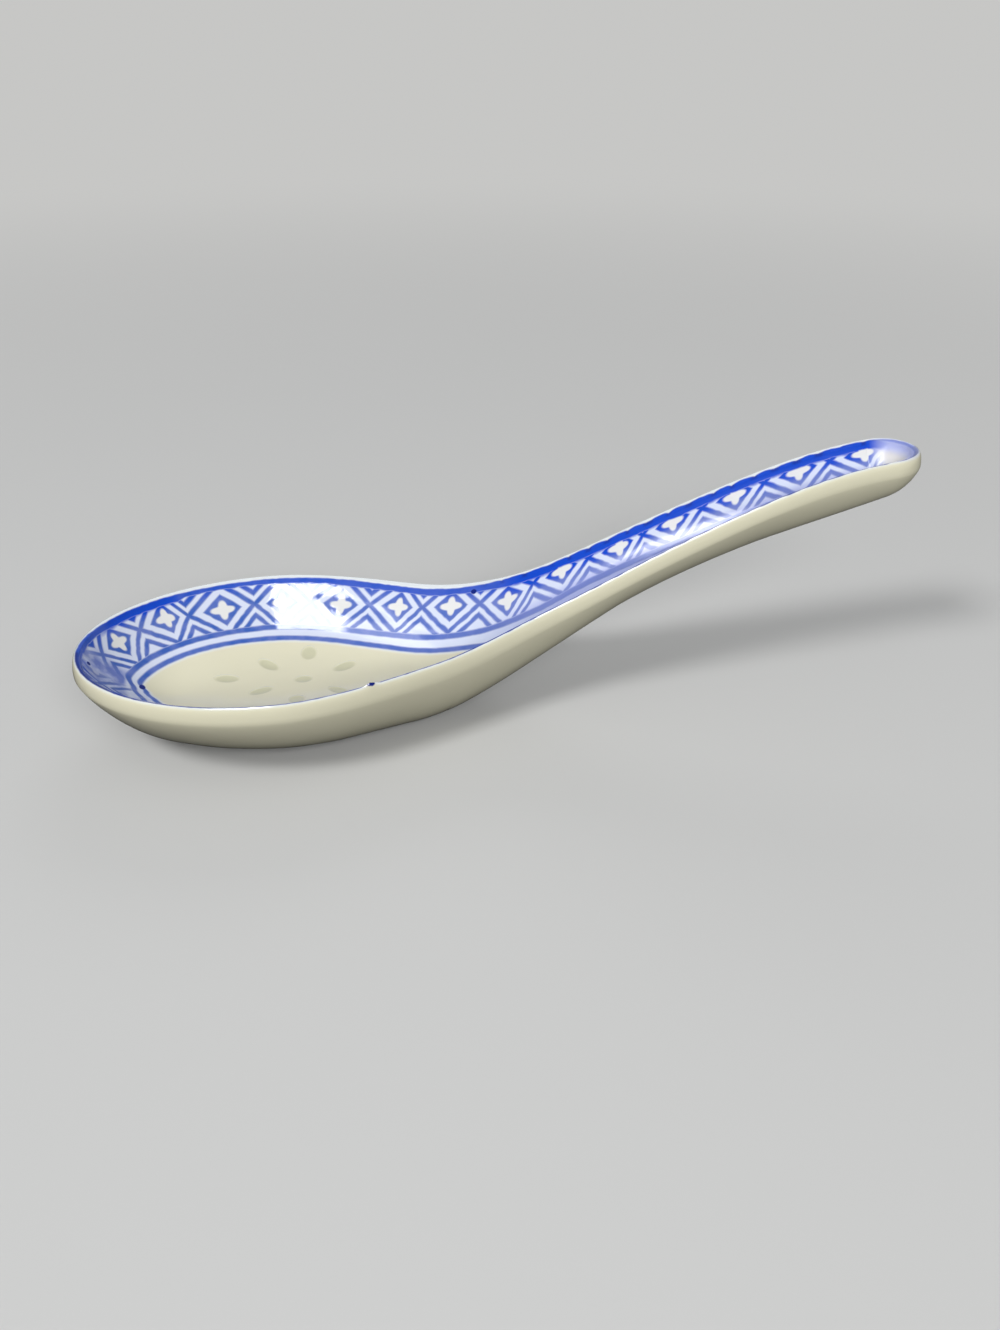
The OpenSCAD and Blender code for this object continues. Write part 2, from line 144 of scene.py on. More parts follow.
def spine_x(x):
    x = np.asarray(x, float)
    tip = x + (BOWL_HALF / BOWL_WIDE_AT) ** 2 * (BOWL_WIDE_AT - x)
    cap = x - (END_HALF / END_ROUND) ** 2 * (x - CAP_AT)
    return np.where(x < BOWL_WIDE_AT, tip,
                    np.where(x > CAP_AT, cap, x + along(x, PLAN) * slope_of(x, PLAN)))


def by_part(x, v):
    """A value for the tip, the bowl, the handle and its end, blended from each to the next."""
    return np.interp(x, [0, FULL_FROM, FULL_TO, THIN_TO, HANDLE_TO, SPOON_LEN],
                     [v[0], v[1], v[1], v[2], v[2], v[3]])


def under(x):
    return along(x, KEEL)


def floor_top(x):
    return under(x) + along(x, FLOOR)


def reach(x):
    return np.hypot(half_w(x), spine_x(x) - x)


def outer_z(x, r):
    """Height of the outside at share r of the way from the middle line to the edge."""
    at = x + (1 - r) * (spine_x(x) - x)
    rise = along(x, RIM) - by_part(x, SHOULDER) - under(x)
    curve = 1 - (1 - r ** by_part(x, OUTER_FULL)) ** (1 / STEEP)
    return np.maximum(0, under(at) + rise * curve - FOOT_FLAT)


def inner_at(x, q):
    """Plan distance and height of the inside at share q of the way to the middle line."""
    run = reach(x)
    s = LIP + q * (run - LIP)
    at = x + s / run * (spine_x(x) - x)
    first = x + LIP / run * (spine_x(x) - x)
    rise = along(x, RIM) - LIP_R - floor_top(first)
    return s, floor_top(at) + rise * (1 - q) ** by_part(x, INNER_FULL) - FOOT_FLAT


def crest_at(x, turn):
    """The round lip: its crest at a quarter turn, its inner edge at a half turn."""
    z = along(x, RIM) - LIP_R + LIP_R * math.sin(turn) - FOOT_FLAT
    return LIP_R * (1 - math.cos(turn)) + 0 * x, z


def place(x, s, z, side):
    """Points of the frame in mm, from plan distance and height at station x."""
    t = s / reach(x)
    return np.stack([x + t * (spine_x(x) - x) - FOOT_MID, side * half_w(x) * (1 - t), z], -1)


SX = SPOON_LEN * (1 - np.cos(np.linspace(0, math.pi, STATIONS + 1))) / 2


def profile():
    """Plan distance, height and running length from the crest to the middle line, by station."""
    rows = [crest_at(SX, math.pi / 2 * (1 + k / LIP_STEPS)) for k in range(LIP_STEPS)]
    rows += [inner_at(SX, (k / WALL_STEPS) ** WALL_CROWD) for k in range(WALL_STEPS + 1)]
    s, z = np.array([r[0] for r in rows]), np.array([r[1] for r in rows])
    steps = np.hypot(np.diff(s, axis=0), np.diff(z, axis=0))
    return s, z, np.concatenate([np.zeros((1, len(SX))), np.cumsum(steps, axis=0)])


PROF_S, PROF_Z, PROF_B = profile()
FULL = PROF_B[-1]


def face_pt(b, depth):
    """Plan distance and height at distance b below the crest, sunk by depth into the wall."""
    s, z = np.empty_like(SX), np.empty_like(SX)
    for i in range(len(SX)):
        at = min(b[i], FULL[i])
        step = FULL[i] / 200
        s0, s1, sm = np.interp([at - step, at + step, at], PROF_B[:, i], PROF_S[:, i])
        z0, z1, zm = np.interp([at - step, at + step, at], PROF_B[:, i], PROF_Z[:, i])
        m = math.hypot(s1 - s0, z1 - z0)
        ds, dz = (s1 - s0) / m, (z1 - z0) / m
        if b[i] >= FULL[i]:
            sm, ds, dz = reach(SX[i]), 1.0, 0.0
        s[i], z[i] = sm + depth[i] * dz, zm - depth[i] * ds
    return s, z


# Printed lines by station
LAST = int(np.max(np.where(SX <= SPOON_LEN - PLAIN_END)))
ONE = np.ones_like(SX)
LINE_A = np.maximum(BAND_END + LINE_W, np.minimum(along(SX, PRINT_LINE), FULL - LINE_W - MID_STRIP))
LINE_B = LINE_A + LINE_W
FREE_C = np.maximum(LINE_B + LINE_GAP, along(SX, INNER_PATH))
MEET = int(np.min(np.where((FREE_C + INNER_W >= FULL) & (SX > BOWL_WIDE_AT))))
INDEX = np.arange(len(SX))
CLOSED = int(np.min(np.where((FREE_C >= FULL) & (INDEX > MEET))))
LINE_C = np.where(INDEX < CLOSED, FREE_C, FULL)
LINE_D = np.where(INDEX < MEET, FREE_C + INNER_W, FULL)
PRINT_DEPTH = np.where(INDEX <= LAST, SEAT, 0.0)
INNER_DEPTH = np.where(INDEX < CLOSED, SEAT, 0.0)
FIELD_DEPTH = np.where((INDEX >= MEET) & (INDEX < CLOSED), SEAT, 0.0)


def arc_along_rim():
    """Running length of the crest from the bowl tip, by station."""
    s, z = crest_at(SX, math.pi / 2)
    p = place(SX, s, z, 1)
    return np.concatenate([[0], np.cumsum(np.linalg.norm(np.diff(p, axis=0), axis=1))])


ARC = arc_along_rim()
LATTICE_AT, LATTICE_MID = np.array(LATTICE).T
PHASE_FAR = np.interp(ARC, LATTICE_AT, np.arange(len(LATTICE)) / 2)
PHASE_NEAR = PHASE_FAR[0] - ARC / CELL
LATTICE_B = np.interp(ARC, LATTICE_AT, LATTICE_MID)
LATTICE_K = np.interp(ARC, *np.array(STRETCH).T)


def blend_rows(a, b, count):
    """Rows from a to b without a, with b."""
    return [a + (b - a) * (k + 1) / count for k in range(count)]


def inner_rows():
    """Distance below the crest and depth of the seat, from the rim to the middle line."""
    zero, start, end = 0 * ONE, BAND_FROM * ONE, BAND_END * ONE
    rows = [(start, zero), (start, SEAT * ONE)]
    rows += [(b, SEAT * ONE) for b in blend_rows(start, end, BAND_ROWS)]
    rows += [(end, PRINT_DEPTH)]
    rows += [(b, PRINT_DEPTH) for b in blend_rows(end, LINE_A, LATTICE_ROWS)]
    rows += [(b, PRINT_DEPTH) for b in blend_rows(LINE_A, LINE_B, LINE_ROWS)]
    rows += [(LINE_B, zero)] + [(b, zero) for b in blend_rows(LINE_B, LINE_C, GAP_ROWS)]
    rows += [(LINE_C, INNER_DEPTH)]
    rows += [(b, INNER_DEPTH) for b in blend_rows(LINE_C, LINE_D, LINE_ROWS)]
    rows += [(LINE_D, FIELD_DEPTH)]
    rows += [(b, FIELD_DEPTH) for b in blend_rows(LINE_D, FULL, FIELD_ROWS)]
    return rows


def foot_share():
    """Share of the way to the edge at which the outside leaves the flat foot."""
    left = FOOT_FLAT - under(spine_x(SX))
    tall = along(SX, RIM) - by_part(SX, SHOULDER) - under(SX)
    share = 1 - (1 - np.clip(left / tall, 0, None)) ** STEEP
    return share ** (1 / by_part(SX, OUTER_FULL))


# Meshes
def skin(name, rows, count, ring=False):
    """A closed skin over rows of (plan distance, height, print distance), both sides.

    Each row holds one value per station, and the first count stations are used. The two sides
    meet on the middle line. UV maps carry the print: cell has the lattice phase and the height
    from the lattice centre, lines the distances from the outer and the inner line, place the
    distance along and below the crest, and band the distances from the edges of the rim band.
    """
    s, z, b = (np.array([row[k] for row in rows])[:, :count].T for k in range(3))
    n, m = s.shape
    x = SX[:n, None] + 0 * s
    arc = ARC[:n, None]
    verts, maps = [], {"cell": [], "lines": [], "place": [], "band": []}
    for side, phase, edges in ((1, PHASE_FAR, BAND_FAR), (-1, PHASE_NEAR, BAND_NEAR)):
        p = place(x, s, z, side)
        p[np.abs(p[..., 1]) < 1e-9, 1] = 0.0
        if side < 0:
            near = ((arc - NUB_AT) / NUB_HALF) ** 2 + ((b - NUB_LOW) / NUB_WIDE) ** 2
            p[..., 2] += NUB_HIGH * np.exp(-near)
        verts.append(p.reshape(-1, 3))
        at, top, low = np.array(edges).T
        top, low = np.interp(arc, at, top), np.interp(arc, at, low)
        uvs = {"cell": (phase[:n, None] + 0 * s, (b - LATTICE_B[:n, None]) * LATTICE_K[:n, None]),
               "lines": (b - LINE_A[:n, None], b - LINE_C[:n, None]),
               "place": (side * arc + 0 * s, b),
               "band": (b - top, low - b)}
        for key, pair in uvs.items():
            maps[key].append(np.stack(pair, -1).reshape(-1, 2))
    verts = np.concatenate(verts)
    faces = []
    grid = np.arange(n * m).reshape(n, m)
    for r in range(m if ring else m - 1):
        t = (r + 1) % m
        for i in range(n - 1):
            far = [grid[i, r], grid[i, t], grid[i + 1, t], grid[i + 1, r]]
            near = [v + n * m for v in (far[0], far[3], far[2], far[1])]
            for q in (far, near):
                # A face with three corners on the middle line is split, and its flat half left out
                if sum(verts[v][1] == 0 for v in q) < 3:
                    faces.append(q)
                    continue
                for tri in ((q[0], q[1], q[2]), (q[0], q[2], q[3])):
                    if not all(verts[v][1] == 0 for v in tri):
                        faces.append(list(tri))
    mesh = bpy.data.meshes.new(name)
    mesh.from_pydata((verts * MM).tolist(), [], [[int(v) for v in f] for f in faces])
    for layer, data in maps.items():
        add_uv(mesh, layer, np.concatenate(data))
    bm = bmesh.new()
    bm.from_mesh(mesh)
    bmesh.ops.remove_doubles(bm, verts=bm.verts, dist=WELD)
    bmesh.ops.dissolve_degenerate(bm, edges=bm.edges, dist=WELD)
    bm.to_mesh(mesh)
    bm.free()
    return finish_mesh(name, mesh)


def add_uv(mesh, layer, by_vertex):
    """A UV map from one pair of values per vertex."""
    loops = np.empty(len(mesh.loops), np.int32)
    mesh.loops.foreach_get("vertex_index", loops)
    mesh.uv_layers.new(name=layer).data.foreach_set("uv", by_vertex[loops].ravel())


def finish_mesh(name, mesh):
    mesh.validate()
    mesh.shade_smooth()
    mesh.set_sharp_from_angle(angle=SHARP)
    piece = bpy.data.objects.new(name, mesh)
    bpy.context.scene.collection.objects.link(piece)
    return piece


def shoulder_rows():
    """Rows from the outer edge of the rim up to its crest, with the distance back from it."""
    rows, b, last = [], 0 * ONE, crest_at(SX, math.pi / 2)
    for k in range(CREST_ROWS - 1, 0, -1):
        turn = math.pi / 2 * k / (CREST_ROWS - 1)
        s = LIP_R * (1 - math.cos(turn)) + 0 * ONE
        z = along(SX, RIM) - by_part(SX, SHOULDER) * (1 - math.sin(turn)) - FOOT_FLAT
        b = b - np.hypot(last[0] - s, last[1] - z)
        last = (s, z)
        rows.append((s, z, b))
    return rows[::-1]


def face_row(b, depth):
    return *face_pt(b, depth), np.minimum(b, FULL)


def body_rows():
    """From the middle of the foot over the outside and the rim to the middle of the inside."""
    foot, run = foot_share(), reach(SX)
    shares = [0 * ONE, foot]
    for k in range(1, OUTER_ROWS + 1):
        shares.append(foot + (1 - foot) * (1 - (1 - k / OUTER_ROWS) ** CROWD))
    outside = [((1 - r) * run, outer_z(SX, r), OFF_PRINT + 0 * ONE) for r in shares]
    return outside + shoulder_rows() + [face_row(b, depth) for b, depth in inner_rows()]


def strip(name, start, end, row_count, depth, count):
    """A printed strip: its face, then its underside from the last row back to the first."""
    rows = [start] + blend_rows(start, end, row_count)
    ring = [face_row(b, 0 * ONE) for b in rows] + [face_row(b, depth) for b in rows[::-1]]
    return skin(name, ring, count, True)


def build_prints():
    start, end = BAND_FROM * ONE, BAND_END * ONE
    return {
        "rim_band": strip("rim_band_print", start, end, BAND_ROWS, SEAT * ONE, len(SX)),
        "lattice_border": strip("lattice_print", end, LINE_A, LATTICE_ROWS, PRINT_DEPTH, LAST + 2),
        "outer_line": strip("outer_line_print", LINE_A, LINE_B, LINE_ROWS, PRINT_DEPTH, LAST + 2),
        "inner_line": strip("inner_line_print", LINE_C, LINE_D, LINE_ROWS, INNER_DEPTH, CLOSED + 1),
    }


# Glaze windows
def windows():
    """Middle, turn, length and width of each grain, over the plan counted from the bowl tip."""
    out = [(FLOWER_AT, FLOWER_SIDE, 0, GRAIN_LEN * SHORT, GRAIN_W)]
    for k in range(PETALS):
        turn = FLOWER_TURN + 360 * k / PETALS
        across = abs(math.sin(math.radians(turn))) > 0.9
        long = GRAIN_LEN * (SHORT if across else 1)
        ring = PETAL_FROM + long / 2
        out.append((FLOWER_AT + ring * math.cos(math.radians(turn)),
                    FLOWER_SIDE + ring * math.sin(math.radians(turn)), turn,
                    long, GRAIN_W * (ROUND if across else 1)))
    turn = math.radians(OUTER_TURN)
    out.append((FLOWER_AT + OUTER_RING * math.cos(turn), FLOWER_SIDE + OUTER_RING * math.sin(turn),
                OUTER_TURN, GRAIN_LEN, GRAIN_W))
    return out


def outline(g, count, share=1.0):
    """The ellipse of a grain, or a smaller one inside it, as points of the plan."""
    a = np.arange(count) * 2 * math.pi / count
    c, s = share * g[3] / 2 * np.cos(a), share * g[4] / 2 * np.sin(a)
    turn = math.radians(g[2])
    return np.stack([g[0] - FOOT_MID + c * math.cos(turn) - s * math.sin(turn),
                     g[1] + c * math.sin(turn) + s * math.cos(turn)], -1)


def floor_pair(p):
    """Heights of the outer and the inner face above points of the plan."""
    x, y = p[:, 0] + FOOT_MID, np.abs(p[:, 1])
    low = BOWL_WIDE_AT * (1 - np.sqrt(1 - (y / BOWL_HALF) ** 2))
    high = NECK_AT + 0 * x
    for _ in range(HALVINGS):
        mid = (low + high) / 2
        short = mid + (1 - y / half_w(mid)) * (spine_x(mid) - mid) < x
        low, high = np.where(short, mid, low), np.where(short, high, mid)
    r = y / half_w(mid)
    run = reach(mid)
    s = (1 - r) * run
    return outer_z(mid, r), inner_at(mid, (s - LIP) / (run - LIP))[1]


def window_mesh(name, g, count=GRAIN_SIDES, rings=GRAIN_RINGS):
    """A grain of glaze: nearly flush at its edge and slightly hollow in the middle, on both faces."""
    shares = [1 - k / rings for k in range(rings)]
    verts, faces = [], []
    for top in (0, 1):
        for u in shares + [0.0]:
            p = outline(g, count, u) if u else outline(g, 1, 0.0)
            dip = GRAIN_DIP * (GRAIN_EDGE + (1 - GRAIN_EDGE) * (1 - u * u))
            z = floor_pair(p)[1] - dip if top else floor_pair(p)[0] + dip
            verts += [(a[0], a[1], h) for a, h in zip(p, z)]
    layer = rings * count + 1
    for top in (0, 1):
        base = top * layer
        for k in range(rings):
            for j in range(count):
                m = (j + 1) % count
                a, b = base + k * count + j, base + k * count + m
                if k < rings - 1:
                    f = [a, b, b + count, a + count]
                else:
                    f = [a, b, base + rings * count]
                faces.append(f if top else f[::-1])
    for j in range(count):
        m = (j + 1) % count
        faces.append([j, m, layer + m, layer + j])
    mesh = bpy.data.meshes.new(name)
    mesh.from_pydata([tuple(c * MM for c in v) for v in verts], [], faces)
    edge = np.repeat(shares, count).tolist() + [0.0]
    add_uv(mesh, "edge", np.stack([edge + edge] * 2, -1))
    return finish_mesh(name, mesh)


def cut_windows(body):
    """Cuts the grain holes through the floor of the body."""
    verts, faces = [], []
    for g in windows():
        p = outline(g, GRAIN_SIDES)
        n, base = len(p), len(verts)
        verts += [(a[0] * MM, a[1] * MM, h) for h in (CUT_FROM, CUT_TO) for a in p]
        faces += [[base + j, base + (j + 1) % n, base + n + (j + 1) % n, base + n + j]
                  for j in range(n)]
        faces += [[base + j for j in range(n)][::-1], [base + n + j for j in range(n)]]
    mesh = bpy.data.meshes.new("cutter")
    mesh.from_pydata(verts, [], faces)
    cutter = bpy.data.objects.new("cutter", mesh)
    bpy.context.scene.collection.objects.link(cutter)
    mod = body.modifiers.new("windows", "BOOLEAN")
    mod.object, mod.operation, mod.solver = cutter, "DIFFERENCE", "EXACT"
    graph = bpy.context.evaluated_depsgraph_get()
    cut = bpy.data.meshes.new_from_object(body.evaluated_get(graph))
    body.modifiers.clear()
    body.data = cut
    bpy.data.objects.remove(cutter)
    cut.shade_smooth()
    cut.set_sharp_from_angle(angle=SHARP)


# Node arithmetic
class Num:
    """A number in a node tree, so that a pattern can be written as a formula."""

    def __init__(self, tree, socket):
        self.tree, self.socket = tree, socket

    def op(self, kind, other=None):
        node = self.tree.nodes.new("ShaderNodeMath")
        node.operation = kind
        self.tree.links.new(self.socket, node.inputs[0])
        if isinstance(other, Num):
            self.tree.links.new(other.socket, node.inputs[1])
        elif other is not None:
            node.inputs[1].default_value = other
        return Num(self.tree, node.outputs[0])

    def __add__(self, o):
        return self.op("ADD", o)

    def __sub__(self, o):
        return self.op("SUBTRACT", o)

    def __mul__(self, o):
        return self.op("MULTIPLY", o)

    def __neg__(self):
        return self.op("MULTIPLY", -1.0)

    def abs(self):
        return self.op("ABSOLUTE")

    def min(self, o):
        return self.op("MINIMUM", o)

    def max(self, o):
        return self.op("MAXIMUM", o)

    def clamp(self):
        return self.max(0.0).min(1.0)

    def above(self, edge, soft=0.12):
        """0 below the edge, 1 above it, with a soft step."""
        node = self.tree.nodes.new("ShaderNodeMapRange")
        node.interpolation_type = "SMOOTHSTEP"
        self.tree.links.new(self.socket, node.inputs["Value"])
        node.inputs["From Min"].default_value = edge - soft
        node.inputs["From Max"].default_value = edge + soft
        return Num(self.tree, node.outputs["Result"])

    def below(self, edge, soft=0.12):
        return -self.above(edge, soft) + 1.0

    def within(self, low, high, soft=0.12):
        return self.above(low, soft) * self.below(high, soft)


def noise(tree, coords, scale, detail=2.0, distortion=0.0):
    """Noise centred on zero, about -0.5 to 0.5, over object coordinates in metres."""
    node = tree.nodes.new("ShaderNodeTexNoise")
    tree.links.new(coords, node.inputs["Vector"])
    node.inputs["Scale"].default_value = scale
    node.inputs["Detail"].default_value = detail
    node.inputs["Distortion"].default_value = distortion
    return Num(tree, node.outputs["Fac"]) - 0.5


def mix_colour(tree, fac, a, b):
    """Colour a, with share fac of colour b; either is a tuple or a socket."""
    node = tree.nodes.new("ShaderNodeMix")
    node.data_type = "RGBA"
    tree.links.new(fac.socket, node.inputs[0])
    for value, slot in ((a, node.inputs[6]), (b, node.inputs[7])):
        if isinstance(value, tuple):
            slot.default_value = (*value, 1.0)
        else:
            tree.links.new(value, slot)
    return node.outputs[2]


def lay_over(tree, base, layers):
    """Lays colours over a base one after the other, each with its own share."""
    for share, colour in layers:
        base = mix_colour(tree, share, base, colour)
    return base


def new_material(name):
    mat = bpy.data.materials.new(name)
    mat.use_nodes = True
    tree = mat.node_tree
    shader = tree.nodes["Principled BSDF"]
    coords = tree.nodes.new("ShaderNodeTexCoord").outputs["Object"]
    return mat, tree, shader, coords


def add_bump(tree, shader, height, strength, distance):
    node = tree.nodes.new("ShaderNodeBump")
    node.inputs["Strength"].default_value = strength
    node.inputs["Distance"].default_value = distance
    tree.links.new(height.socket, node.inputs["Height"])
    tree.links.new(node.outputs["Normal"], shader.inputs["Normal"])


# Materials
# Glaze and porcelain
CREAM = (0.735, 0.705, 0.53)
# Crest of the lip: whiter where the glaze thins over it, and partly a painted highlight along the rim
CREST_WHITE_AND_SHEEN = (0.78, 0.82, 0.84)
WHITE = (0.67, 0.72, 0.86)
PETAL = (0.80, 0.785, 0.72)
LILAC = (0.36, 0.40, 0.74)
TIP_WASH = (0.17, 0.23, 0.58)
# Pale unprinted ground at the handle end, lightened as a painted soft sheen where the gloss is held back
TAIL_GROUND_AND_SHEEN = (0.76, 0.74, 0.72)
TAIL_BLUE = (0.42, 0.46, 0.80)
BISCUIT = (0.60, 0.57, 0.49)
IRON = (0.20, 0.16, 0.11)
GRAIN_LIGHT = (0.63, 0.61, 0.43)
GRAIN_DARK = (0.57, 0.56, 0.39)
# Cobalt
BLUE = (0.045, 0.12, 0.46)
DEEP = (0.003, 0.062, 0.56)
NAVY = (0.006, 0.018, 0.20)
PALE = (0.175, 0.225, 0.55)
# Stage
BACKDROP = (0.57, 0.57, 0.56)
FLOOR_SHADE = (0.60, 0.60, 0.59)
FLOOR_LIGHT = (0.64, 0.64, 0.63)
FLOOR_BOUNCE = (0.07, 0.07, 0.07)
SKY, SKY_STRENGTH = (0.93, 0.96, 1.0), 0.22
# In metres: the side of the floor, the distance at which it fades into the backdrop, and half
# the width of that fade
FLOOR_SIZE, FADE_AT, FADE_SOFT = 12.0, 0.36, 0.32

# Scales of the noise: four that make the print uneven, then the tone of the cobalt and the
# glaze, the clouds of the outside and the waviness of the glaze
SLOW, DRIFT, QUICK, FINE, TONE, CLOUD, PEEL = 130, 240, 700, 1500, 420, 60, 350

# The deep cobalt of the handle: where it starts along the rim and how far down it goes
HANDLE_FROM, DEEP_TO = 79.0, 1.9
# Where the print ends, from the bowl tip
PRINT_END = 129.3
# Stretches of the rim: deep cobalt round the second and third flower, the wash at the bowl
# tip, and the neck, where the glaze shows no glare
TIP_DEEP, TIP_WASHED, NECK_DULL = (8.0, 23.5), (-13.0, 3.8), (54.5, 76.0)
# Marks round each centre of the lattice: half sizes of the flower's lobes and core, and the
# distances that bound the diamond, the crossing lines and the chevrons
LOBE_ALONG, LOBE_UP, LOBE_W, CORE = 1.98, 1.82, 0.72, 1.1
DIAMOND, CROSS, CHEVRON, TILT = 3.05, (4.65, 5.75), (6.9, 8.05), 1.05
# Drops of cobalt: place along and below the crest, half sizes along and across
DROPS = [(76.2, 1.7, 0.5, 0.4), (1.3, 11.8, 1.4, 0.5), (-1.2, 2.6, 0.5, 0.35),
         (-NUB_AT, NUB_LOW - 0.05, 0.6, 0.32)]


def uv_pair(tree, name):
    uv = tree.nodes.new("ShaderNodeUVMap")
    uv.uv_map = name
    split = tree.nodes.new("ShaderNodeSeparateXYZ")
    tree.links.new(uv.outputs[0], split.inputs[0])
    return Num(tree, split.outputs[0]), Num(tree, split.outputs[1])


def object_axes(tree, coords):
    """Distance from the bowl tip and height, in mm."""
    split = tree.nodes.new("ShaderNodeSeparateXYZ")
    tree.links.new(coords, split.inputs[0])
    return Num(tree, split.outputs[0]) * (1 / MM) + FOOT_MID, Num(tree, split.outputs[2]) * (1 / MM)


def oval(u, v, half_u, half_v, power=2.0):
    """0 in the middle and 1 on an oval with these half sizes; power 3 makes a petal of it."""
    return (u * (1 / half_u)).op("POWER", power) + (v * (1 / half_v)).op("POWER", 2.0)


def spot(a, b, at, low, half_long, half_wide, soft=0.35):
    """A round mark at a place along and below the crest."""
    return oval(a - at, b - low, half_long, half_wide).below(1.0, soft)


def lattice_marks(phase, v, quick):
    """The white flower of each centre, and the diamond, crossing lines and chevrons round it."""
    du = (phase - phase.op("ROUND")).abs() * CELL
    up = v.abs()
    lobes = oval(du, up, LOBE_ALONG, LOBE_W, 3.0).min(oval(up, du, LOBE_UP, LOBE_W, 3.0))
    flower = lobes.min(oval(du, up, CORE, CORE)).below(1.0, 0.35)
    s = du + up * TILT + quick * 0.3
    marks = s.below(DIAMOND, 0.25).max(s.within(*CROSS, 0.26)).max(s.within(*CHEVRON, 0.28))
    return flower, marks * (-flower + 1.0)


def border(tree, coords, x):
    """Strength of each part of the cobalt border, and the distances that place the grounds.

    a and b are the distances along and below the crest, w and d those from the outer and the
    inner line, top and low those from the edges of the rim band, all made a little uneven.
    """
    phase, v = uv_pair(tree, "cell")
    w, d = uv_pair(tree, "lines")
    a, b = uv_pair(tree, "place")
    top, low = uv_pair(tree, "band")
    slow = noise(tree, coords, SLOW)
    quick = noise(tree, coords, QUICK, 1.0)
    fine = noise(tree, coords, FINE, 1.0)
    drift = noise(tree, coords, DRIFT)
    far_along = a.abs()
    handle = far_along.above(HANDLE_FROM, 6.0)
    fade = (x + slow * 3.0).below(PRINT_END, 1.7)
    deep_fade = (x + slow * 2.0).below(PRINT_END + 1.0, 1.8)

    # The lines lie lower round the tip, mostly on the far side
    tip_shift = (a.below(1.2, 2.4) * 1.4 + a.below(-4.0, 3.0) * 0.9) * a.above(-26.0, 16.0)
    w = w - tip_shift + slow * 0.22 + quick * 0.2
    d = d - tip_shift + slow * 0.18 + quick * 0.16
    b = b + fine * 0.12

    # Rim band with its drips along the handle
    beat = (a * (math.pi / TEETH) + drift * 3.0).op("SINE").abs()
    teeth = (beat - 0.6) * handle * deep_fade * (slow * 0.6 + 0.24)
    top = top + quick * 0.22 + teeth
    low = low + quick * 0.35 + drift * far_along.above(55.0, 5.0) * 0.7

    # Lattice, absent at the very tip
    flower, lattice = lattice_marks(phase + drift * 0.035, v + slow * 0.3 + quick * 0.25, quick)
    inside = low.below(0.0, 0.12) * w.below(0.05, 0.14) * far_along.above(2.4, 1.6)

    # Deep cobalt that runs down from the band between the flowers
    near_tip = a.above(TIP_DEEP[0], 3.0) * a.below(TIP_DEEP[1], 1.0)
    flood = (b + quick * 0.4).below(DEEP_TO, 0.35) * handle.max(near_tip * 0.9)
    flood = flood * (-(flower * b.above(1.5, 0.3)) + 1.0)
    return {"lattice": lattice * inside * fade, "flower": flower * inside,
            "outer": w.within(0.08, LINE_W + 0.1, 0.2) * fade,
            "inner": d.within(0.02, INNER_W + 0.05, 0.2) * far_along.below(float(ARC[CLOSED]) + 0.5, 0.5),
            "band": top.above(0.0, 0.13) * low.above(0.0, 0.16),
            "flood": flood * top.above(0.0, 0.13) * deep_fade,
            "a": a, "b": b, "w": w, "d": d, "top": top, "handle": handle, "beat": beat,
            "fade": fade, "deep_fade": deep_fade, "slow": slow, "quick": quick}


def ground_colour(tree, coords, m, x, outside, tone):
    """Cream outside and in the bowl, bluish under the border, lilac low on the handle; the crest of the
    lip and the handle end are paler, partly as painted highlight and sheen.
    """
    a, b, d, slow = m["a"], m["b"], m["d"], m["slow"]
    in_print = m["top"].above(0.1, 0.25) * d.below(INNER_W + 0.2, 0.5)
    in_bowl = d.above(INNER_W + 0.35, 0.5) * b.above(4.0, 1.0)
    low_handle = a.abs().above(84.0, 9.0) * (m["w"] + slow).above(-0.7, 0.9) * d.below(9.0, 1.0)
    wash = a.within(*TIP_WASHED, 2.4) * b.within(0.2, 9.0, 0.6) * (slow * 2.0 + tone * 2.4 + 0.8)
    at_end = (x + slow * 2.0).above(PRINT_END + 0.8, 1.6)
    cloud = noise(tree, coords, CLOUD, 2.0)
    # The base is the crest colour: the white lip under thin glaze, partly a painted highlight
    return lay_over(tree, mix_colour(tree, in_print, CREST_WHITE_AND_SHEEN, WHITE), [
        (in_bowl, CREAM),
        (outside, CREAM),
        (m["flower"] * 0.8, PETAL),
        ((low_handle * 0.75).min(1.0) * m["fade"], LILAC),
        (wash.clamp(), TIP_WASH),
        # Beyond the print the handle end is pale: unprinted ground, partly a painted soft sheen
        (at_end * b.above(1.8, 1.0), TAIL_GROUND_AND_SHEEN),
        (at_end * b.within(0.2, 2.2, 1.1) * 0.9, TAIL_BLUE),
        ((cloud * 1.2 + 0.3).clamp() * 0.5 * outside, CREAM)])


def cobalt_colour(tree, m, blot, tone):
    """Mid blue in the bowl, deep at the rim of the handle, pale low on the handle."""
    a, b, quick, handle = m["a"], m["b"], m["quick"], m["handle"]
    pale = a.abs().above(80.0, 8.0) * (b + quick).above(3.7, 1.2)
    rim_deep = handle.max(a.within(TIP_DEEP[0], TIP_DEEP[1] + 1.0, 3.0)).max(0.6)
    near_rim = (b + quick * 0.8 - handle * 0.8).below(2.5, 0.9)
    dots = m["beat"].below(0.45, 0.3) * b.within(0.35, 1.1, 0.25)
    dots = dots * (m["slow"] + quick).above(-0.12, 0.15) * handle * m["deep_fade"]
    return lay_over(tree, mix_colour(tree, (tone * 2.0 + 0.3).clamp(), BLUE, PALE), [
        (a.abs().above(52.0, 14.0) * 0.35, PALE),
        (pale * 0.85, PALE),
        (near_rim * rim_deep, DEEP),
        (a.below(-0.5, 0.5) * b.below(0.5, 0.3) * 0.75, NAVY),
        ((dots * 0.55).max(blot), NAVY)])


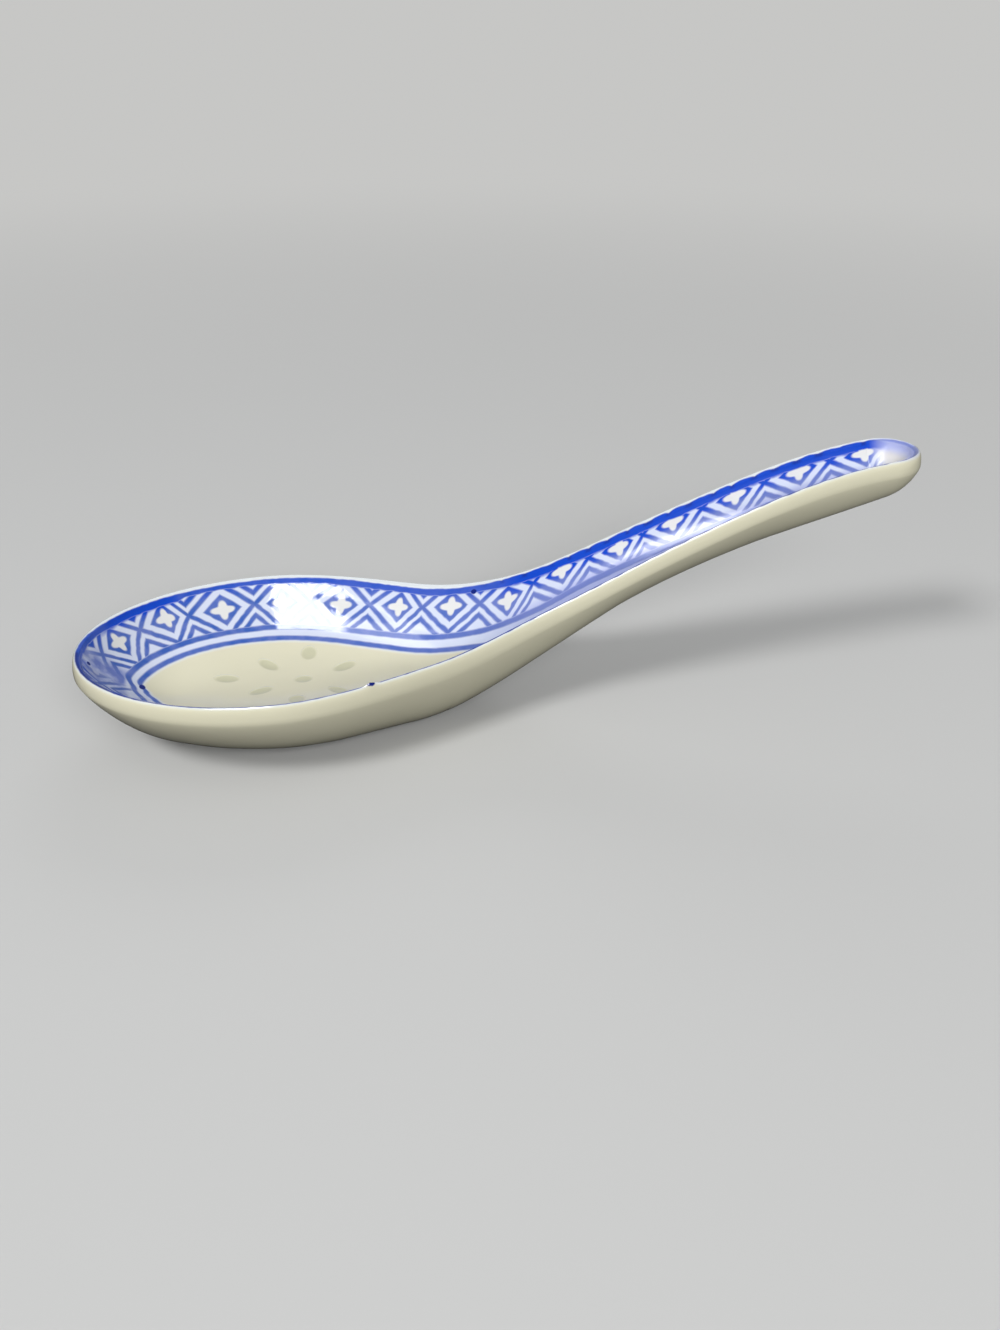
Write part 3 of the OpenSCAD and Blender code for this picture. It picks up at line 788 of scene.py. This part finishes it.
def printed_porcelain():
    """White porcelain under one clear glaze, with the cobalt border printed below it."""
    mat, tree, shader, coords = new_material("printed_porcelain")
    x, z = object_axes(tree, coords)
    m = border(tree, coords, x)
    a, b, d = m["a"], m["b"], m["d"]
    tone = noise(tree, coords, TONE, 3.0)
    # Cream outside; on the near lip the cream reaches almost to the crest, so the paler crest with its
    # painted highlight shows mostly on the far side
    outside = b.below(-0.8, 0.4).max(b.below(-0.25, 0.35) * a.below(-1.0, 4.0))
    ground = ground_colour(tree, coords, m, x, outside, tone)

    # Cobalt over the ground, left out in a ring round the glaze nub
    blot = spot(a, b, *DROPS[0])
    for drop in DROPS[1:]:
        blot = blot.max(spot(a, b, *drop))
    cobalt = cobalt_colour(tree, m, blot, tone)
    halo = spot(a, b, -NUB_AT, NUB_LOW, 1.5, 0.8, 0.4)
    band = m["band"] * m["deep_fade"].max(b.below(0.7, 0.2) * 0.35) * (-halo + 1.0)
    blue = m["lattice"].max(m["outer"]).max(m["inner"]).max(band).max(m["flood"]).max(blot)
    blue = blue.max(0.0).op("POWER", 0.6)

    # Unglazed foot and small iron specks
    foot = z.below(0.03, 0.02) * outside
    colour = lay_over(tree, ground, [(blue, cobalt), (foot, BISCUIT), (specks(tree, coords) * 0.55, IRON)])
    tree.links.new(colour, shader.inputs["Base Color"])

    # The glaze is duller along the handle and in the bowl, and weak at the neck and the handle end
    rough = foot * 0.55 + tone.abs() * 0.06 + a.abs().above(84.0, 6.0) * 0.14 + 0.055
    rough = rough + d.above(INNER_W + 0.5, 0.5) * 0.08
    tree.links.new(rough.socket, shader.inputs["Roughness"])
    neck = a.within(*NECK_DULL, 1.3) * b.within(2.5, 13.0, 0.8)
    at_tail = x.above(127.0, 2.0) * b.above(1.2, 0.8)
    gloss = neck * -0.42 + at_tail * -0.3 + 0.5
    tree.links.new(gloss.socket, shader.inputs["Specular IOR Level"])
    shader.inputs["IOR"].default_value = 1.52
    shader.inputs["Subsurface Weight"].default_value = 0.1
    shader.inputs["Subsurface Radius"].default_value = (0.9, 0.9, 0.85)
    shader.inputs["Subsurface Scale"].default_value = 0.0008
    peel = noise(tree, coords, PEEL, 2.0) + blue * 0.15
    add_bump(tree, shader, peel, 0.06, 0.0004)
    return mat


def specks(tree, coords):
    """Few small round specks: cells whose own number is high get one near their middle."""
    node = tree.nodes.new("ShaderNodeTexVoronoi")
    tree.links.new(coords, node.inputs["Vector"])
    node.inputs["Scale"].default_value = 150
    split = tree.nodes.new("ShaderNodeSeparateXYZ")
    tree.links.new(node.outputs["Color"], split.inputs[0])
    pick = Num(tree, split.outputs[0]).above(0.9, 0.01)
    return Num(tree, node.outputs["Distance"]).below(0.022, 0.012) * pick


def window_glaze():
    """Clear glaze over air: a little darker and greyer than the porcelain round it."""
    mat, tree, shader, coords = new_material("window_glaze")
    tone = noise(tree, coords, 500, 2.0)
    colour = mix_colour(tree, (tone * 1.4 + 0.5).clamp(), GRAIN_LIGHT, GRAIN_DARK)
    rim, _ = uv_pair(tree, "edge")
    colour = mix_colour(tree, (rim + tone * 0.2).above(0.86, 0.2), colour, CREAM)
    tree.links.new(colour, shader.inputs["Base Color"])
    rough = tone.abs() * 0.08 + 0.04
    tree.links.new(rough.socket, shader.inputs["Roughness"])
    shader.inputs["IOR"].default_value = 1.5
    add_bump(tree, shader, tone, 0.06, 0.0004)
    return mat


def stage_material():
    """Pale floor: the camera sees it pale, but it throws back and mirrors less light than that."""
    mat, tree, shader, coords = new_material("studio_floor")
    path = tree.nodes.new("ShaderNodeLightPath")
    seen = Num(tree, path.outputs["Is Camera Ray"]).max(Num(tree, path.outputs["Is Transmission Ray"]))
    tone = noise(tree, coords, 6, 3.0)
    pale = mix_colour(tree, (tone * 0.5 + 0.5).clamp(), FLOOR_SHADE, FLOOR_LIGHT)
    colour = mix_colour(tree, seen, FLOOR_BOUNCE, pale)
    tree.links.new(colour, shader.inputs["Base Color"])
    shader.inputs["Roughness"].default_value = 0.6

    # Far from the spoon, what the camera sees fades into the plain backdrop colour
    length = tree.nodes.new("ShaderNodeVectorMath")
    length.operation = "LENGTH"
    tree.links.new(coords, length.inputs[0])
    away = Num(tree, length.outputs["Value"]).above(FADE_AT, FADE_SOFT)
    glow = tree.nodes.new("ShaderNodeEmission")
    glow.inputs["Color"].default_value = (*BACKDROP, 1.0)
    mix = tree.nodes.new("ShaderNodeMixShader")
    tree.links.new((away * seen).socket, mix.inputs[0])
    tree.links.new(shader.outputs[0], mix.inputs[1])
    tree.links.new(glow.outputs[0], mix.inputs[2])
    tree.links.new(mix.outputs[0], tree.nodes["Material Output"].inputs["Surface"])
    return mat


# The spoon
glaze = printed_porcelain()
window_mat = window_glaze()
body = skin("porcelain_spoon", body_rows(), len(SX))
cut_windows(body)
pieces = {"porcelain_body": body, **build_prints()}
for node, piece in pieces.items():
    piece.data.materials.clear()
    piece.data.materials.append(glaze)
    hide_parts(node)
    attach(piece, "root")
for k, g in enumerate(windows(), 1):
    piece = window_mesh("glaze_grain_%d" % k, g)
    piece.data.materials.append(window_mat)
    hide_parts("glaze_window_%d" % k)
    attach(piece, "root")

# Stage and light
bpy.ops.mesh.primitive_plane_add(size=FLOOR_SIZE, location=(0, 0, 0))
floor = bpy.context.object
floor.name = "floor"
floor.data.materials.append(stage_material())


def studio_world():
    """Soft light from all around; the camera sees the plain backdrop colour instead."""
    world = bpy.data.worlds.new("studio")
    bpy.context.scene.world = world
    world.use_nodes = True
    tree = world.node_tree
    light = tree.nodes["Background"]
    light.inputs["Color"].default_value = (*SKY, 1.0)
    light.inputs["Strength"].default_value = SKY_STRENGTH
    seen = tree.nodes.new("ShaderNodeBackground")
    seen.inputs["Color"].default_value = (*BACKDROP, 1.0)
    path = tree.nodes.new("ShaderNodeLightPath")
    mix = tree.nodes.new("ShaderNodeMixShader")
    tree.links.new(path.outputs["Is Camera Ray"], mix.inputs[0])
    tree.links.new(light.outputs[0], mix.inputs[1])
    tree.links.new(seen.outputs[0], mix.inputs[2])
    tree.links.new(mix.outputs[0], tree.nodes["World Output"].inputs["Surface"])


def area_light(name, at, size, power, panel=False):
    """A lamp aimed at the spoon that isn't mirrored, or a level panel for the gloss alone."""
    data = bpy.data.lights.new(name, "AREA")
    data.shape, data.size, data.size_y = "RECTANGLE", size[0], size[1]
    data.energy = power
    lamp = bpy.data.objects.new(name, data)
    lamp.location = at
    if not panel:
        lamp.rotation_euler = (Vector(AIM) - Vector(at)).to_track_quat("-Z", "Y").to_euler()
    lamp.visible_diffuse, lamp.visible_glossy = not panel, panel
    bpy.context.scene.collection.objects.link(lamp)


# Lamps at the left front, in front and, weaker, behind; the reflection of the two panels overhead
# lies on the far wall of the bowl. Each has its place, its size in metres and its power.
AIM = (0.0, 0.0, 0.01)
studio_world()
area_light("side", (-1.2, -0.72, 1.6), (0.55, 0.55), 21.5)
area_light("front", (0.2, -1.43, 0.92), (1.2, 0.6), 18.5)
area_light("back", (0.4, 1.5, 0.9), (1.0, 0.6), 4.0)
area_light("panel", (-0.27, -0.325, 1.5), (0.37, 0.75), 17.0, panel=True)
area_light("panel_corner", (-0.585, -0.63, 1.5), (0.26, 0.14), 2.3, panel=True)

# Camera fitted to the outlines of the spoon in the photograph: focal length in its pixels, the
# point looked at, from the bowl tip and the underside, and the angles and distance from there
IMAGE_H, FOCAL_PX = 1330, 1100.0
LOOK_X, LOOK_Z = 66.794, 5.126
ELEVATION, TURN, DISTANCE = math.radians(30.706), math.radians(-10.0), 183.502
target = Vector((LOOK_X - FOOT_MID, 0.0, LOOK_Z - FOOT_FLAT)) * MM
back = Vector((math.sin(TURN) * math.cos(ELEVATION), -math.cos(TURN) * math.cos(ELEVATION),
               math.sin(ELEVATION)))
cam_data = bpy.data.cameras.new("camera")
cam_data.sensor_width = 36.0
cam_data.lens = FOCAL_PX * cam_data.sensor_width / IMAGE_H
cam_data.clip_start = 0.005
camera = bpy.data.objects.new("camera", cam_data)
camera.location = target + back * DISTANCE * MM
camera.rotation_euler = (-back).to_track_quat("-Z", "Y").to_euler()
bpy.context.scene.collection.objects.link(camera)
bpy.context.scene.camera = camera
bpy.context.scene.view_settings.view_transform = "Standard"
